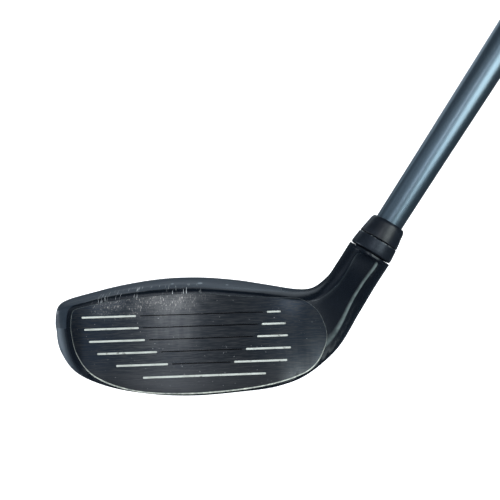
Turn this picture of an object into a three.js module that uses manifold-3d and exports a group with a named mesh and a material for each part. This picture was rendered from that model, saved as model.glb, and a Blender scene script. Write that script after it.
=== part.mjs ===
// Hybrid golf club with an adjustable hosel, in millimetres, +Z up.
// The club stands at address: +X runs from toe to heel, the face looks towards -Y, and the origin
// lies on the flat pad on which the sole rests.
import * as THREE from 'three';
import { LoftGeometry } from 'three/addons/geometries/LoftGeometry.js';
import { mergeVertices } from 'three/addons/utils/BufferGeometryUtils.js';
import Module from 'manifold-3d';

const wasm = await Module();
wasm.setup();

// ---------------------------------------------------------------- driving dimensions
const DEGREE = Math.PI / 180;
const LIE = 57.5 * DEGREE; // shaft axis above the ground
const LOFT = 22 * DEGREE; // face plane leaning back from upright
const CLUB_LENGTH = 1010; // ground to butt, along the shaft axis
const GAP = 0.3; // air between neighbouring solids
const ROUND = 32; // sides of every turned piece

const HOSEL_X = 33.8; // where the shaft axis meets the ground
const HOSEL_Y = -1;
const HOSEL_RADIUS = 7.7;
const HOSEL_TOP = 53; // distances along the shaft axis start at the ground
const PANEL_DEPTH = 6.5; // hosel axis to the flat front panel
const PANEL_TURN = 12 * DEGREE; // panel turned about the axis, towards the face's own normal
const BEND = { x: 37, z: 50.5 }; // centre about which the neck curves up into the hosel

const FACE_FOOT = { y: -14, z: 3 }; // a point near the foot of the face plane
const PLATE_THICKNESS = 2.2;
const WALL = 2.2; // cast shell of the head

const BORE_RADIUS = 5.6; // hosel bore that takes the loft sleeve
const SLEEVE_RADIUS = 5.45;
const TIP_RADIUS = 4.775; // parallel shaft tip with its paint
const BORE_FOOT = 27;
const SLEEVE_FOOT = 28.8;
const TIP_FOOT = 38.4; // shaft tip, inside the sleeve
const SLEEVE_SEAM = 58.3; // top of the sleeve's collar
const FERRULE_TOP = 65.3;
const SCREW_RADIUS = 2.35; // M5 retaining screw
const SEAT = 17; // shoulder in the sole pocket that the screw pulls on
const POCKET_RADIUS = 4.6;

// The shaft is parallel at its tip, grows fast to the shoulder and slowly to the butt.
const TAPER_START = 80;
const TAPER_SHOULDER = { station: 165, radius: 5.5 };
const TAPER_END = 750;
const BUTT_RADIUS = 7.6;
const GRIP_MOUTH = 744;
const CAP_THICKNESS = 3.4;

const WEIGHT_RADIUS = 6.5; // rear weight in the sole
const WEIGHT_TILT = 15 * DEGREE; // its axis leans back, square to the sole
const WEIGHT_CENTRE = { x: 1, y: 31.5, z: 3.4 }; // middle of its outer face

const PAINT = { color: 0x2d3640, roughness: 0.35, metalness: 0.4 };
const SATIN = { color: 0x59636e, roughness: 0.45, metalness: 0.8 };
const STEEL = { color: 0x8a8f94, roughness: 0.4, metalness: 1 };
const RUBBER = { color: 0x1c1d1f, roughness: 0.9, metalness: 0 };
const LACQUER = { color: 0x5a6c7e, roughness: 0.25, metalness: 0.5 };
const BRASS = { color: 0xb08d57, roughness: 0.4, metalness: 1 };

// ---------------------------------------------------------------- solids and placing

// A closed three.js geometry as a solid for joining and cutting, turned right side out.
function solid(geometry) {
  const bare = new THREE.BufferGeometry().copy(geometry);
  bare.deleteAttribute('normal');
  bare.deleteAttribute('uv');
  const merged = mergeVertices(bare, 1e-4);
  const triangles = [];
  for (let i = 0; i < merged.index.count; i += 3) {
    const [a, b, c] = [0, 1, 2].map((corner) => merged.index.getX(i + corner));
    if (a !== b && b !== c && c !== a) triangles.push(a, b, c);
  }
  const vertices = merged.attributes.position.array;
  return new wasm.Manifold(new wasm.Mesh({
    numProp: 3,
    vertProperties: vertices,
    triVerts: new Uint32Array(volume(vertices, triangles) < 0 ? triangles.reverse() : triangles),
  }));
}

function volume(vertices, triangles) {
  const corner = (i) => new THREE.Vector3().fromArray(vertices, 3 * triangles[i]);
  let sum = 0;
  for (let i = 0; i < triangles.length; i += 3) {
    sum += corner(i).dot(corner(i + 1).cross(corner(i + 2))) / 6;
  }
  return sum;
}

function geometryOf(manifold) {
  const { numProp, vertProperties, triVerts } = manifold.getMesh();
  const geometry = new THREE.BufferGeometry();
  const buffer = new THREE.InterleavedBuffer(vertProperties, numProp);
  geometry.setAttribute('position', new THREE.InterleavedBufferAttribute(buffer, 3, 0));
  geometry.setIndex(new THREE.BufferAttribute(triVerts, 1));
  const own = geometry.toNonIndexed();
  own.computeVertexNormals();
  return own;
}

// Frame of the shaft axis: local X points outwards and down, local Y runs up the shaft.
const AXIS = new THREE.Vector3(Math.cos(LIE), 0, Math.sin(LIE));
const OUTWARD = new THREE.Vector3(Math.sin(LIE), 0, -Math.cos(LIE));
const SHAFT_FRAME = new THREE.Matrix4()
  .makeBasis(OUTWARD, AXIS, new THREE.Vector3(0, -1, 0))
  .setPosition(HOSEL_X, HOSEL_Y, 0);

// Frame of the face: local X towards the heel, local Y up the face, local Z out of it.
const FACE_FRAME = new THREE.Matrix4()
  .makeRotationX(Math.PI / 2 - LOFT)
  .setPosition(0, FACE_FOOT.y, FACE_FOOT.z);

// Frame of the rear weight: local Y points up into the head, square to the sole.
const WEIGHT_FRAME = new THREE.Matrix4()
  .makeRotationX(WEIGHT_TILT)
  .setPosition(WEIGHT_CENTRE.x, WEIGHT_CENTRE.y, WEIGHT_CENTRE.z)
  .multiply(new THREE.Matrix4().makeRotationX(Math.PI / 2));

// A turned solid from a profile of [radius, height] points, closed on itself or on its axis.
function turned(profile) {
  return new THREE.LatheGeometry(profile.map(([r, h]) => new THREE.Vector2(r, h)), ROUND);
}

function tube(inner, outer, low, high) {
  return turned([[inner, low], [outer, low], [outer, high], [inner, high], [inner, low]]);
}

function rod(radius, low, high) {
  return turned([[0, low], [radius, low], [radius, high], [0, high]]);
}

function placed(geometry, frame) {
  return solid(new THREE.BufferGeometry().copy(geometry).applyMatrix4(frame));
}

// ---------------------------------------------------------------- outer form of the head

const faceY = (z) => FACE_FOOT.y + (z - FACE_FOOT.z) * Math.tan(LOFT);

// A point of the neck, seen from the front: an angle round the bend and a distance from its centre.
function neck(degrees, distance) {
  const angle = degrees * DEGREE;
  return [BEND.x + distance * Math.sin(angle), BEND.z - distance * Math.cos(angle)];
}

// A point of the hosel's outline: side -1 is its toe side, +1 its heel side.
function hosel(station, side) {
  return [
    HOSEL_X + Math.cos(LIE) * station + side * HOSEL_RADIUS * Math.sin(LIE),
    Math.sin(LIE) * station - side * HOSEL_RADIUS * Math.cos(LIE),
  ];
}

// Each station of the head is a closed outline in a plane that holds its top and its bottom point.
//   top, bottom    [x, z]
//   face           y of the face line at top and bottom height
//   ridge, keel    y of the highest and the lowest point
//   rear           [y, share of the height] of the rearmost point
//   edge           how far the face line stops below the top, stops above the bottom, and its rounding
//   crown, sole    curve handles at the face, [y share, height share], and at the ridge or keel
//   back           curve handles at ridge, rear and keel
const FREE = { crown: [0.3, 0.8, 0.45], sole: [0.3, 0.8, 0.55] };
const ARC = 0.5523; // handle length of a quarter circle

function onFace(topZ, bottomZ, setBack = 0) {
  return [faceY(topZ) + setBack, faceY(bottomZ) + setBack];
}

// Hosel outline: a circle with the flat front panel cut into it.
function panelStation(station) {
  const half = Math.sqrt(HOSEL_RADIUS ** 2 - PANEL_DEPTH ** 2);
  const middleY = HOSEL_Y - PANEL_DEPTH * Math.cos(PANEL_TURN);
  const middleH = HOSEL_RADIUS + PANEL_DEPTH * Math.sin(PANEL_TURN);
  const rise = half * Math.cos(PANEL_TURN);
  const slope = Math.tan(PANEL_TURN);
  return {
    top: hosel(station, -1),
    bottom: hosel(station, 1),
    face: [middleY + (2 * HOSEL_RADIUS - middleH) * slope, middleY - middleH * slope],
    ridge: HOSEL_Y,
    keel: HOSEL_Y,
    rear: [HOSEL_Y + HOSEL_RADIUS, 0.5],
    edge: [2 * HOSEL_RADIUS - middleH - rise, middleH - rise, 0.5],
    crown: [0.26, 0.64, 0.378],
    sole: [0.15, 0.6, 0.447],
    back: [ARC, ARC, ARC],
  };
}

// Plain round hosel outline, whose face line has shrunk to its foremost point.
function roundStation(station) {
  const front = HOSEL_Y - HOSEL_RADIUS + 0.05;
  return {
    top: hosel(station, -1),
    bottom: hosel(station, 1),
    face: [front, front],
    ridge: HOSEL_Y,
    keel: HOSEL_Y,
    rear: [HOSEL_Y + HOSEL_RADIUS, 0.5],
    edge: [HOSEL_RADIUS - 0.9, HOSEL_RADIUS - 0.9, 0.3],
    crown: [0, 0.52, ARC],
    sole: [0, 0.52, ARC],
    back: [ARC, ARC, ARC],
  };
}

const NECK_END = (BEND.x - HOSEL_X) * Math.cos(LIE) + BEND.z * Math.sin(LIE);

const STATIONS = [
  { top: [-48.7, 22.5], bottom: [-48.7, 20.8], face: [2.5, 2.5], ridge: 4, keel: 4, rear: [5, 0.5],
    edge: [0.4, 0.4, 0.1], back: [0.55, 0.55, 0.55] },
  { top: [-47.5, 27.9], bottom: [-47.4, 18.3], face: [0.6, -0.8], ridge: 5, keel: 3, rear: [12, 0.5],
    edge: [1.9, 2, 1.3], back: [0.55, 0.5, 0.55] },
  { top: [-45.4, 29.6], bottom: [-44.6, 12.9], face: [-2.2, -6.1], ridge: 6, keel: 0, rear: [20, 0.5],
    edge: [1.4, 2, 1.3], back: [0.5, 0.45, 0.55] },
  { top: [-38, 31.2], bottom: [-38, 7.6], face: onFace(31.2, 7.6, 0.3), ridge: 8, keel: 0, rear: [30, 0.45],
    edge: [1.2, 1.6, 1], back: [0.45, 0.4, 0.55] },
  { top: [-27, 33.5], bottom: [-27, 3.2], face: onFace(33.5, 3.2), ridge: 9, keel: 0, rear: [38, 0.38],
    edge: [1.3, 1.5, 0.8], back: [0.42, 0.35, 0.55] },
  { top: [-13, 35.2], bottom: [-13, 0.6], face: onFace(35.2, 0.6), ridge: 10, keel: 0, rear: [44, 0.32],
    edge: [1.7, 1.5, 0.8], back: [0.42, 0.33, 0.55] },
  { top: [1, 35.4], bottom: [1, -0.3], face: onFace(35.4, -0.3), ridge: 10, keel: 0, rear: [46, 0.3],
    edge: [1.7, 1.5, 0.8], back: [0.42, 0.33, 0.55] },
  { top: [15, 34.1], bottom: [15.5, 0], face: onFace(34.1, 0), ridge: 10, keel: 0, rear: [42, 0.33],
    edge: [1.4, 1.8, 0.8], back: [0.42, 0.35, 0.55] },
  { top: [27, 32.6], bottom: [28.5, 1.4], face: onFace(32.6, 1.4), ridge: 7, keel: 0, rear: [32, 0.38],
    edge: [1.4, 1.6, 0.8], back: [0.45, 0.4, 0.55] },
  { top: neck(0, 19.1), bottom: neck(3, 46), face: [-3.9, -12.6], ridge: 4, keel: -1, rear: [22, 0.42],
    edge: [1.6, 1.8, 0.8], back: [0.5, 0.45, 0.55] },
  { top: neck(18, 19.1), bottom: neck(19, 40.7), face: [-4.6, -10.2], ridge: 1, keel: -1, rear: [14, 0.46],
    edge: [2, 2.8, 0.8], back: [0.55, 0.5, 0.55] },
  { top: neck(38, 17.7), bottom: neck(39, 34), face: [-5.2, -8.9], ridge: -0.5, keel: -1, rear: [9, 0.5],
    edge: [2.2, 4, 0.8], crown: [0.28, 0.7, 0.45], sole: [0.2, 0.7, 0.5], back: [0.55, 0.54, 0.55] },
  panelStation(NECK_END),
  panelStation(HOSEL_TOP - 2),
  roundStation(HOSEL_TOP - 1.1),
  roundStation(HOSEL_TOP),
];

const KEYS = ['top', 'bottom', 'face', 'ridge', 'keel', 'rear', 'edge', 'crown', 'sole', 'back'];

function blend(values, share) {
  const [before, from, to, after] = values;
  if (Array.isArray(from)) return from.map((_, i) => blend(values.map((value) => value[i]), share));
  const pull = (to - before) * share;
  const bend = (2 * before - 5 * from + 4 * to - after) * share ** 2;
  const twist = (3 * from - before - 3 * to + after) * share ** 3;
  return (2 * from + pull + bend + twist) / 2;
}

function mirrored(near, far) {
  if (Array.isArray(near)) return near.map((_, i) => mirrored(near[i], far[i]));
  return 2 * near - far;
}

// The station at any place between the listed ones, on a smooth curve through them.
function stationAt(place) {
  const last = STATIONS.length - 1;
  const index = Math.min(Math.floor(place), last - 1);
  const station = {};
  for (const key of KEYS) {
    const value = (i) => STATIONS[i][key] ?? FREE[key];
    const from = value(index);
    const to = value(index + 1);
    const before = index > 0 ? value(index - 1) : mirrored(from, to);
    const after = index + 2 <= last ? value(index + 2) : mirrored(to, from);
    station[key] = blend([before, from, to, after], place - index);
  }
  return station;
}

const cubic = (...points) => new THREE.CubicBezierCurve(...points);

// The part of a curve that is left when its first stretch, about `length` long, is cut off.
function trimmed(curve, length) {
  const reach = 3 * curve.v0.distanceTo(curve.v1);
  const t = Math.min(0.45, length / Math.max(1e-6, reach));
  const mix = (a, b) => a.clone().lerp(b, t);
  const b = mix(curve.v1, curve.v2);
  const c = mix(curve.v2, curve.v3);
  const e = mix(b, c);
  const d = mix(mix(curve.v0, curve.v1), b);
  return cubic(mix(d, e), e, c, curve.v3);
}

// Points of a station's outline: along the sole, up the rear, over the crown and down the face.
function outline(station) {
  const { ridge, keel } = station;
  const [frontTop, frontBottom] = station.face;
  const [stopTop, stopBottom] = station.edge;
  const [topX, topZ] = station.top;
  const [bottomX, bottomZ] = station.bottom;
  const height = Math.hypot(topX - bottomX, topZ - bottomZ);
  const at = (y, h) => new THREE.Vector2(y, h);
  const onLine = (h) => at(frontBottom + (frontTop - frontBottom) * (h / height), h);
  const upper = onLine(height - stopTop);
  const lower = onLine(stopBottom);
  const top = at(ridge, height);
  const bottom = at(keel, 0);
  const rear = at(station.rear[0], station.rear[1] * height);
  const share = (from, to, y, h) => at(from.x + y * (to.x - from.x), from.y + h * (to.y - from.y));
  const [crownY, crownH, crownEnd] = station.crown;
  const [soleY, soleH, soleEnd] = station.sole;
  const [backTop, backRear, backKeel] = station.back;

  const rounding = Math.min(station.edge[2], 0.3 * upper.distanceTo(lower));
  const up = upper.clone().sub(lower).normalize().multiplyScalar(rounding);
  const faceEnd = upper.clone().sub(up);
  const faceStart = lower.clone().add(up);
  const crownWhole = cubic(
    upper, share(upper, top, crownY, crownH), share(top, upper, crownEnd, 0), top,
  );
  const soleWhole = cubic(
    lower, share(lower, bottom, soleY, soleH), share(bottom, lower, soleEnd, 0), bottom,
  );
  const crown = trimmed(crownWhole, rounding);
  const sole = trimmed(soleWhole, rounding);
  const soleBack = cubic(sole.v3, sole.v2, sole.v1, sole.v0);

  const stretches = [
    [new THREE.LineCurve(faceStart, faceEnd), 2],
    [new THREE.QuadraticBezierCurve(faceEnd, upper, crown.v0), 2],
    [crown, 3],
    [cubic(top, share(top, rear, backTop, 0), share(rear, top, 0, backRear), rear), 5],
    [cubic(rear, share(rear, bottom, 0, backRear), share(bottom, rear, backKeel, 0), bottom), 5],
    [soleBack, 2],
    [new THREE.QuadraticBezierCurve(sole.v0, lower, faceStart), 2],
  ];
  const points = stretches.flatMap(([curve, steps]) => curve.getPoints(steps).slice(0, -1));
  return points.map((point) => new THREE.Vector3(
    bottomX + (topX - bottomX) * (point.y / height),
    point.x,
    bottomZ + (topZ - bottomZ) * (point.y / height),
  )).reverse();
}

function skin(places, change = (station) => station) {
  const sections = places.map((place) => outline(change(stationAt(place))));
  return solid(new LoftGeometry(sections, { capStart: true, capEnd: true }));
}

function steps(from, to, count) {
  return Array.from({ length: count + 1 }, (_, i) => from + ((to - from) * i) / count);
}

const GROUND = solid(new THREE.BoxGeometry(200, 200, 50).translate(0, 0, -25));

function headForm() {
  return skin(steps(0, STATIONS.length - 1, 2 * (STATIONS.length - 1))).subtract(GROUND);
}

// The hollow of the head: the same stations drawn in by the wall.
function hollow() {
  const shrink = (station) => {
    const drop = WALL / Math.hypot(station.top[0] - station.bottom[0], station.top[1] - station.bottom[1]);
    const draw = (a, b) => a.map((value, i) => value + (b[i] - value) * drop);
    return {
      ...station,
      top: draw(station.top, station.bottom),
      bottom: draw(station.bottom, station.top),
      face: station.face.map((y) => y + (PLATE_THICKNESS + 0.4) / Math.cos(LOFT)),
      rear: [station.rear[0] - WALL, station.rear[1]],
    };
  };
  return skin(steps(2.25, 7.5, 8), shrink);
}

// ---------------------------------------------------------------- face plate

// Outline of the plate on the face: x, and the height up the face.
const PLATE_LOW = [[-40.4, 27.5], [-40.5, 21], [-37.8, 12.4], [-31.2, 5.1], [-18, 0.3], [0, -1.1], [20, 0],
  [34, 2.8], [41.7, 7], [45.8, 15.4], [44, 23], [40.7, 26.8], [36.9, 29.1]];
const PLATE_TOP = [[36.9, 29.1], [17.6, 30.4], [2, 31.9], [-15, 31.2], [-30, 29.6], [-40.4, 27.5]];

function plateShape(shrink) {
  const middle = { x: 2, y: 15 };
  const point = ([x, y]) => new THREE.Vector2(
    x - shrink * Math.sign(x - middle.x) * Math.min(1, Math.abs(x - middle.x) / 30),
    y - shrink * Math.sign(y - middle.y) * Math.min(1, Math.abs(y - middle.y) / 12),
  );
  const low = new THREE.SplineCurve(PLATE_LOW.map(point)).getPoints(36);
  const top = new THREE.SplineCurve(PLATE_TOP.map(point)).getPoints(12);
  return new THREE.Shape([...low, ...top.slice(1, -1)]);
}

function facePrism(shrink, depth) {
  const prism = new THREE.ExtrudeGeometry(plateShape(shrink), { depth: depth + 6, bevelEnabled: false });
  return placed(prism.translate(0, 0, -depth), FACE_FRAME);
}

const LINE_PITCH = 4.07; // score lines, measured up the face
const LINE_TOP = 24.75;
const LINE_WIDTH = 0.68;
const LINE_DEPTH = 0.5;
// Painted stretches at toe and heel of each row, joined by a thin groove; the lowest row is one stretch.
const LINES = [
  [[-37, -18.7], [25.9, 30.7]],
  [[-35.9, -17.6], [24, 32.2]],
  [[-34.1, -15.5], [22.2, 32.7]],
  [[-31.2, -11.4], [18.3, 33.5]],
  [[-24.8, -7.7], [14.2, 32]],
  [[-15.9, 24.7]],
];

function groove(from, to, height, width) {
  const box = new THREE.BoxGeometry(to - from, width, 2 * LINE_DEPTH);
  return placed(box.translate((from + to) / 2, height, 0), FACE_FRAME);
}

function facePlate(form) {
  const front = placed(
    new THREE.BoxGeometry(200, 200, 60).translate(0, 0, 30 - PLATE_THICKNESS),
    FACE_FRAME,
  );
  let plate = form.intersect(facePrism(GAP / 2, PLATE_THICKNESS)).intersect(front);
  LINES.forEach((stretches, row) => {
    const height = LINE_TOP - row * LINE_PITCH;
    for (const [from, to] of stretches) plate = plate.subtract(groove(from, to, height, LINE_WIDTH));
    if (stretches.length === 2) {
      const [[, toe], [heel]] = stretches;
      plate = plate.subtract(groove(toe + 1.2, heel - 1.2, height, LINE_WIDTH / 2));
    }
  });
  return plate;
}

// ---------------------------------------------------------------- head castings

const CROWN_START = 3.2; // front edge of the crown behind the face plane
const CROWN_HEEL = 32; // where the crown ends at the neck
const CROWN_EDGE = { front: 22.5, drop: 0.2 }; // height of its lower edge, falling towards the rear

// The room of the crown: behind the face's top rail and above the skirt.
function crownRoom(grow) {
  const low = CROWN_EDGE.front - grow;
  const start = faceY(low) + CROWN_START / Math.cos(LOFT) - grow;
  const shape = new THREE.Shape([
    new THREE.Vector2(start, low - CROWN_EDGE.drop * start),
    new THREE.Vector2(90, low - CROWN_EDGE.drop * 90),
    new THREE.Vector2(90, 60),
    new THREE.Vector2(start + (60 - low) * Math.tan(LOFT), 60),
  ]);
  const length = 100 + CROWN_HEEL + grow;
  const prism = new THREE.ExtrudeGeometry(shape, { depth: length, bevelEnabled: false });
  const turn = new THREE.Matrix4().makeBasis(
    new THREE.Vector3(0, 1, 0),
    new THREE.Vector3(0, 0, 1),
    new THREE.Vector3(1, 0, 0),
  );
  return placed(prism.applyMatrix4(turn), new THREE.Matrix4().makeTranslation(-100, 0, 0));
}

// Straight holes along the shaft axis: bore for the sleeve, hole for the screw, pocket for its head.
function hoselHoles() {
  const bore = placed(rod(BORE_RADIUS, BORE_FOOT, HOSEL_TOP + 5), SHAFT_FRAME);
  const hole = placed(rod(SCREW_RADIUS + 0.25, SEAT - 1, BORE_FOOT + 1), SHAFT_FRAME);
  const pocket = placed(rod(POCKET_RADIUS, -8, SEAT), SHAFT_FRAME);
  return bore.add(hole).add(pocket);
}

const WEIGHT_DEPTH = 6;
const BOSS_DEPTH = 14;

function weightBoss(form) {
  return placed(rod(WEIGHT_RADIUS + 2.3, -4, BOSS_DEPTH), WEIGHT_FRAME).intersect(form);
}

function weightHoles() {
  const pocket = placed(rod(WEIGHT_RADIUS + GAP, -6, WEIGHT_DEPTH + 0.9), WEIGHT_FRAME);
  const thread = placed(rod(2.2, 0, BOSS_DEPTH - 0.8), WEIGHT_FRAME);
  return pocket.add(thread);
}

function headBody(form, inside) {
  return form
    .subtract(inside)
    .add(weightBoss(form))
    .subtract(facePrism(0, PLATE_THICKNESS + GAP))
    .subtract(crownRoom(GAP))
    .subtract(hoselHoles())
    .subtract(weightHoles());
}

function crownShell(form, inside) {
  return form.subtract(inside).intersect(crownRoom(0));
}

// ---------------------------------------------------------------- screws and weight

// A six-lobed driver socket, sunk from height `low` upwards.
function driverSocket(radius, low, depth, frame) {
  const lobes = Array.from({ length: 24 }, (_, i) => {
    const angle = (i / 24) * 2 * Math.PI;
    const reach = radius * (1 + 0.14 * Math.cos(6 * angle));
    return new THREE.Vector2(reach * Math.cos(angle), reach * Math.sin(angle));
  });
  const prism = new THREE.ExtrudeGeometry(new THREE.Shape(lobes), { depth, bevelEnabled: false });
  return placed(prism.rotateX(-Math.PI / 2).translate(0, low, 0), frame);
}

function retainingScrew() {
  const shoulder = SEAT - 0.9;
  const tip = TIP_FOOT - 1;
  const profile = [[0, shoulder - 4.1], [3.5, shoulder - 4.1], [4, shoulder - 3.6], [4, shoulder],
    [SCREW_RADIUS, shoulder], [SCREW_RADIUS, tip - 0.7], [SCREW_RADIUS - 0.6, tip], [0, tip]];
  const socket = driverSocket(1.9, shoulder - 5.1, 3.4, SHAFT_FRAME);
  return placed(turned(profile), SHAFT_FRAME).subtract(socket);
}

function weightScrew() {
  const profile = [[0, 0.3], [2.9, 0.3], [2.9, 2.8], [1.9, 3.2], [1.9, 12], [1.5, 12.4], [0, 12.4]];
  return placed(turned(profile), WEIGHT_FRAME).subtract(driverSocket(1.6, -0.7, 2.6, WEIGHT_FRAME));
}

function rearWeight() {
  const profile = [[2.2, 3.3], [3.2, 2.9], [3.2, 0], [WEIGHT_RADIUS - 0.4, 0], [WEIGHT_RADIUS, 0.4],
    [WEIGHT_RADIUS, WEIGHT_DEPTH], [2.2, WEIGHT_DEPTH], [2.2, 3.3]];
  return placed(turned(profile), WEIGHT_FRAME);
}

// ---------------------------------------------------------------- shaft assembly

function loftSleeve() {
  return turned([
    [2.6, SLEEVE_FOOT], [5, SLEEVE_FOOT], [SLEEVE_RADIUS, SLEEVE_FOOT + 0.6],
    [SLEEVE_RADIUS, HOSEL_TOP + GAP], [7.17, HOSEL_TOP + GAP], [7.5, HOSEL_TOP + 0.8],
    [7.48, HOSEL_TOP + 1.8], [7.16, SLEEVE_SEAM - 0.2], [6.97, SLEEVE_SEAM],
    [TIP_RADIUS + 0.1, SLEEVE_SEAM], [TIP_RADIUS + 0.1, TIP_FOOT - GAP], [2.6, TIP_FOOT - GAP],
    [2.6, SLEEVE_FOOT],
  ]);
}

function ferrule() {
  const foot = SLEEVE_SEAM + 0.15;
  const inner = TIP_RADIUS + 0.1;
  return turned([
    [inner, foot], [6.87, foot], [7.04, foot + 0.2], [6.65, foot + 2.7], [6.15, FERRULE_TOP - 1],
    [5.9, FERRULE_TOP - 0.4], [5.5, FERRULE_TOP], [inner, FERRULE_TOP], [inner, foot],
  ]);
}

const SHAFT_TOP = CLUB_LENGTH - CAP_THICKNESS - GAP;

function shaft() {
  return turned([
    [2.5, TIP_FOOT], [TIP_RADIUS, TIP_FOOT], [TIP_RADIUS, TAPER_START],
    [TAPER_SHOULDER.radius, TAPER_SHOULDER.station], [BUTT_RADIUS, TAPER_END],
    [BUTT_RADIUS, SHAFT_TOP], [BUTT_RADIUS - 1.2, SHAFT_TOP], [BUTT_RADIUS - 1.2, TAPER_END],
    [3.9, TAPER_SHOULDER.station], [2.5, TAPER_START], [2.5, TIP_FOOT],
  ]);
}

const TAPE_RADIUS = BUTT_RADIUS + 0.6;

function grip() {
  const inner = TAPE_RADIUS + 0.1;
  return turned([
    [inner, GRIP_MOUTH], [9.1, GRIP_MOUTH], [9.6, GRIP_MOUTH + 3], [10.6, 850], [11.6, 920],
    [12.6, 975], [13.3, SHAFT_TOP], [inner, SHAFT_TOP], [inner, GRIP_MOUTH],
  ]);
}

function gripCap() {
  return turned([
    [1.2, SHAFT_TOP + GAP], [13.3, SHAFT_TOP + GAP], [13.4, CLUB_LENGTH - 1.2],
    [12.4, CLUB_LENGTH], [1.2, CLUB_LENGTH], [1.2, SHAFT_TOP + GAP],
  ]);
}

// ---------------------------------------------------------------- assembly

const club = new THREE.Group();
const onShaft = new THREE.Group();
onShaft.applyMatrix4(SHAFT_FRAME);
const onWeight = new THREE.Group();
onWeight.applyMatrix4(WEIGHT_FRAME);
club.add(onShaft, onWeight);

function piece(group, name, geometry, look) {
  const mesh = new THREE.Mesh(geometry, new THREE.MeshStandardMaterial(look));
  mesh.name = name;
  group.add(mesh);
}

const form = headForm();
const inside = hollow();
piece(club, 'head_body', geometryOf(headBody(form, inside)), SATIN);
piece(club, 'crown_shell', geometryOf(crownShell(form, inside)), PAINT);
piece(club, 'face_plate', geometryOf(facePlate(form)), STEEL);
piece(club, 'retaining_screw', geometryOf(retainingScrew()), STEEL);
piece(club, 'weight_screw', geometryOf(weightScrew()), STEEL);
piece(club, 'rear_weight', geometryOf(rearWeight()), STEEL);
piece(onShaft, 'screw_washer', tube(SCREW_RADIUS + 0.35, 4.3, SEAT - 0.7, SEAT - 0.15), STEEL);
piece(onShaft, 'screw_retainer', tube(SCREW_RADIUS + 0.1, 4, BORE_FOOT + GAP, BORE_FOOT + 1.1), RUBBER);
piece(onShaft, 'loft_sleeve', loftSleeve(), SATIN);
piece(onShaft, 'ferrule', ferrule(), PAINT);
piece(onShaft, 'shaft', shaft(), LACQUER);
piece(onShaft, 'tip_weight', rod(2.35, TIP_FOOT + 0.5, TIP_FOOT + 19), BRASS);
piece(onShaft, 'grip_tape', tube(BUTT_RADIUS + 0.1, TAPE_RADIUS, GRIP_MOUTH + 6, SHAFT_TOP - 1), RUBBER);
piece(onShaft, 'grip', grip(), RUBBER);
piece(onShaft, 'grip_cap', gripCap(), RUBBER);
piece(onWeight, 'weight_washer', tube(2.3, 5.8, WEIGHT_DEPTH + 0.15, WEIGHT_DEPTH + 0.75), RUBBER);

export default club;
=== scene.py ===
# Looks of the adjustable hybrid golf club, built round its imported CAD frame.
# Lengths are in millimetres until a mesh is made, and MM turns them into metres.
import math

import bmesh
import bpy
import numpy as np
from mathutils import Matrix, Vector
from mathutils.bvhtree import BVHTree


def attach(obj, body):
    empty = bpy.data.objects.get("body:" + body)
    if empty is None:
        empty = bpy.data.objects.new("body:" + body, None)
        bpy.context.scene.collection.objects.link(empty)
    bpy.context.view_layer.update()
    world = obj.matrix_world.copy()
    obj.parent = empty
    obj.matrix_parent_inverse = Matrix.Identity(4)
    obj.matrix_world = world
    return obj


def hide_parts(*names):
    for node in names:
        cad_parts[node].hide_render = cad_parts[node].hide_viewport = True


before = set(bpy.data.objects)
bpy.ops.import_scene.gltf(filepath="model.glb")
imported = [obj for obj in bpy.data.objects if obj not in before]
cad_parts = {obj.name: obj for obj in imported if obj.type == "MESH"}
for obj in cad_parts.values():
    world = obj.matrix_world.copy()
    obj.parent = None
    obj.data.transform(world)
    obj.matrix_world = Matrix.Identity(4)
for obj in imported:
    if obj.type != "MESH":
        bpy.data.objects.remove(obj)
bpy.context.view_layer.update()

MM = 0.001
SCENE = bpy.context.scene

# ---- driving dimensions
LIE = math.radians(57.5)  # shaft axis above the ground
LOFT = math.radians(22)  # face plane leaning back from upright
CLUB_LENGTH = 1010
GAP = 0.3

HOSEL_X, HOSEL_Y = 33.8, -1.0  # where the shaft axis meets the ground
HOSEL_RADIUS = 7.7
HOSEL_TOP = 53  # stations along the shaft start at the ground
PANEL_DEPTH = 6.5
PANEL_TURN = math.radians(12)
BEND_X, BEND_Z = 37, 50.5  # centre about which the neck curves

FOOT_Y, FOOT_Z = -14, 3  # a point near the foot of the face plane
PLATE_THICKNESS = 2.2
WALL = 2.2

BORE_RADIUS, BORE_FOOT = 5.6, 27
SLEEVE_RADIUS, SLEEVE_FOOT, SLEEVE_SEAM = 5.45, 28.8, 58.3
TIP_RADIUS, TIP_FOOT = 4.775, 38.4
FERRULE_TOP = 65.3
SCREW_RADIUS, SEAT, POCKET_RADIUS = 2.35, 17, 4.6
TAPER_START, TAPER_END, BUTT_RADIUS = 80, 750, 7.6
SHOULDER_STATION, SHOULDER_RADIUS = 165, 5.5
GRIP_MOUTH = 744
SHAFT_TOP = CLUB_LENGTH - 3.4 - GAP
WEIGHT_RADIUS, WEIGHT_DEPTH, BOSS_DEPTH = 6.5, 6, 14
WEIGHT_TILT = math.radians(15)
WEIGHT_CENTRE = Vector((1, 31.5, 3.4))
CROWN_START, CROWN_HEEL, CROWN_FRONT, CROWN_DROP = 3.2, 32, 22.5, 0.2

SEAM = 0.02  # air left between pieces that are cut from the same form

# Frames, in millimetres. Shaft: z runs up the shaft and x outwards and down. Face: x heelwards, y up
# the face, z out of it. Weight: z points up into the head.
SHAFT_FRAME = Matrix((
    (math.sin(LIE), 0, math.cos(LIE), HOSEL_X),
    (0, 1, 0, HOSEL_Y),
    (-math.cos(LIE), 0, math.sin(LIE), 0),
    (0, 0, 0, 1),
))
FACE_FRAME = Matrix.Translation((0, FOOT_Y, FOOT_Z)) @ Matrix.Rotation(math.pi / 2 - LOFT, 4, "X")
WEIGHT_FRAME = Matrix.Translation(WEIGHT_CENTRE) @ Matrix.Rotation(WEIGHT_TILT, 4, "X")


# ---- meshes

def new_object(name, mesh):
    piece = bpy.data.objects.new(name, mesh)
    SCENE.collection.objects.link(piece)
    return piece


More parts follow.
